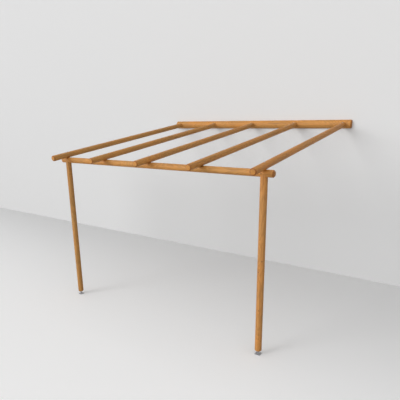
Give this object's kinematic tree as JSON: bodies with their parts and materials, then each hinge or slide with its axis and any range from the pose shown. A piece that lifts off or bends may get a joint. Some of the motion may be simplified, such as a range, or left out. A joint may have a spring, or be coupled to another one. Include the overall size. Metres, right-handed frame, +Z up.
{
  "type": "lean-to pergola",
  "caption": "Wall-mounted lean-to pergola of turned round pine logs, with a half-round wall plate, sloping rafters, a front beam and posts on adjustable steel feet.",
  "frame": {"origin": "on the wall, at the middle of the flat back face of the half-round wall plate", "axes": "+X along the wall to the right seen from the front, +Y into the wall, +Z up; the ground is 3.126 m below the origin"},
  "size_m": [4.13, 4.0667, 3.208],
  "materials": {
    "pine": "turned round, honey brown, oiled",
    "galvanised_steel": "hot-dip galvanised, matt grey"
  },
  "bodies": {
    "root": {"wall_plate": "pine", "front_beam": "pine", "rafter_1": "pine", "rafter_2": "pine", "rafter_3": "pine", "rafter_4": "pine", "rafter_5": "pine", "post_left": "pine", "post_right": "pine", "foot_plate_left": "galvanised_steel", "foot_plate_right": "galvanised_steel", "foot_rod_left": "galvanised_steel", "foot_rod_right": "galvanised_steel", "foot_nut_left": "galvanised_steel", "foot_nut_right": "galvanised_steel", "foot_seat_left": "galvanised_steel", "foot_seat_right": "galvanised_steel"}
  },
  "joints": []
}
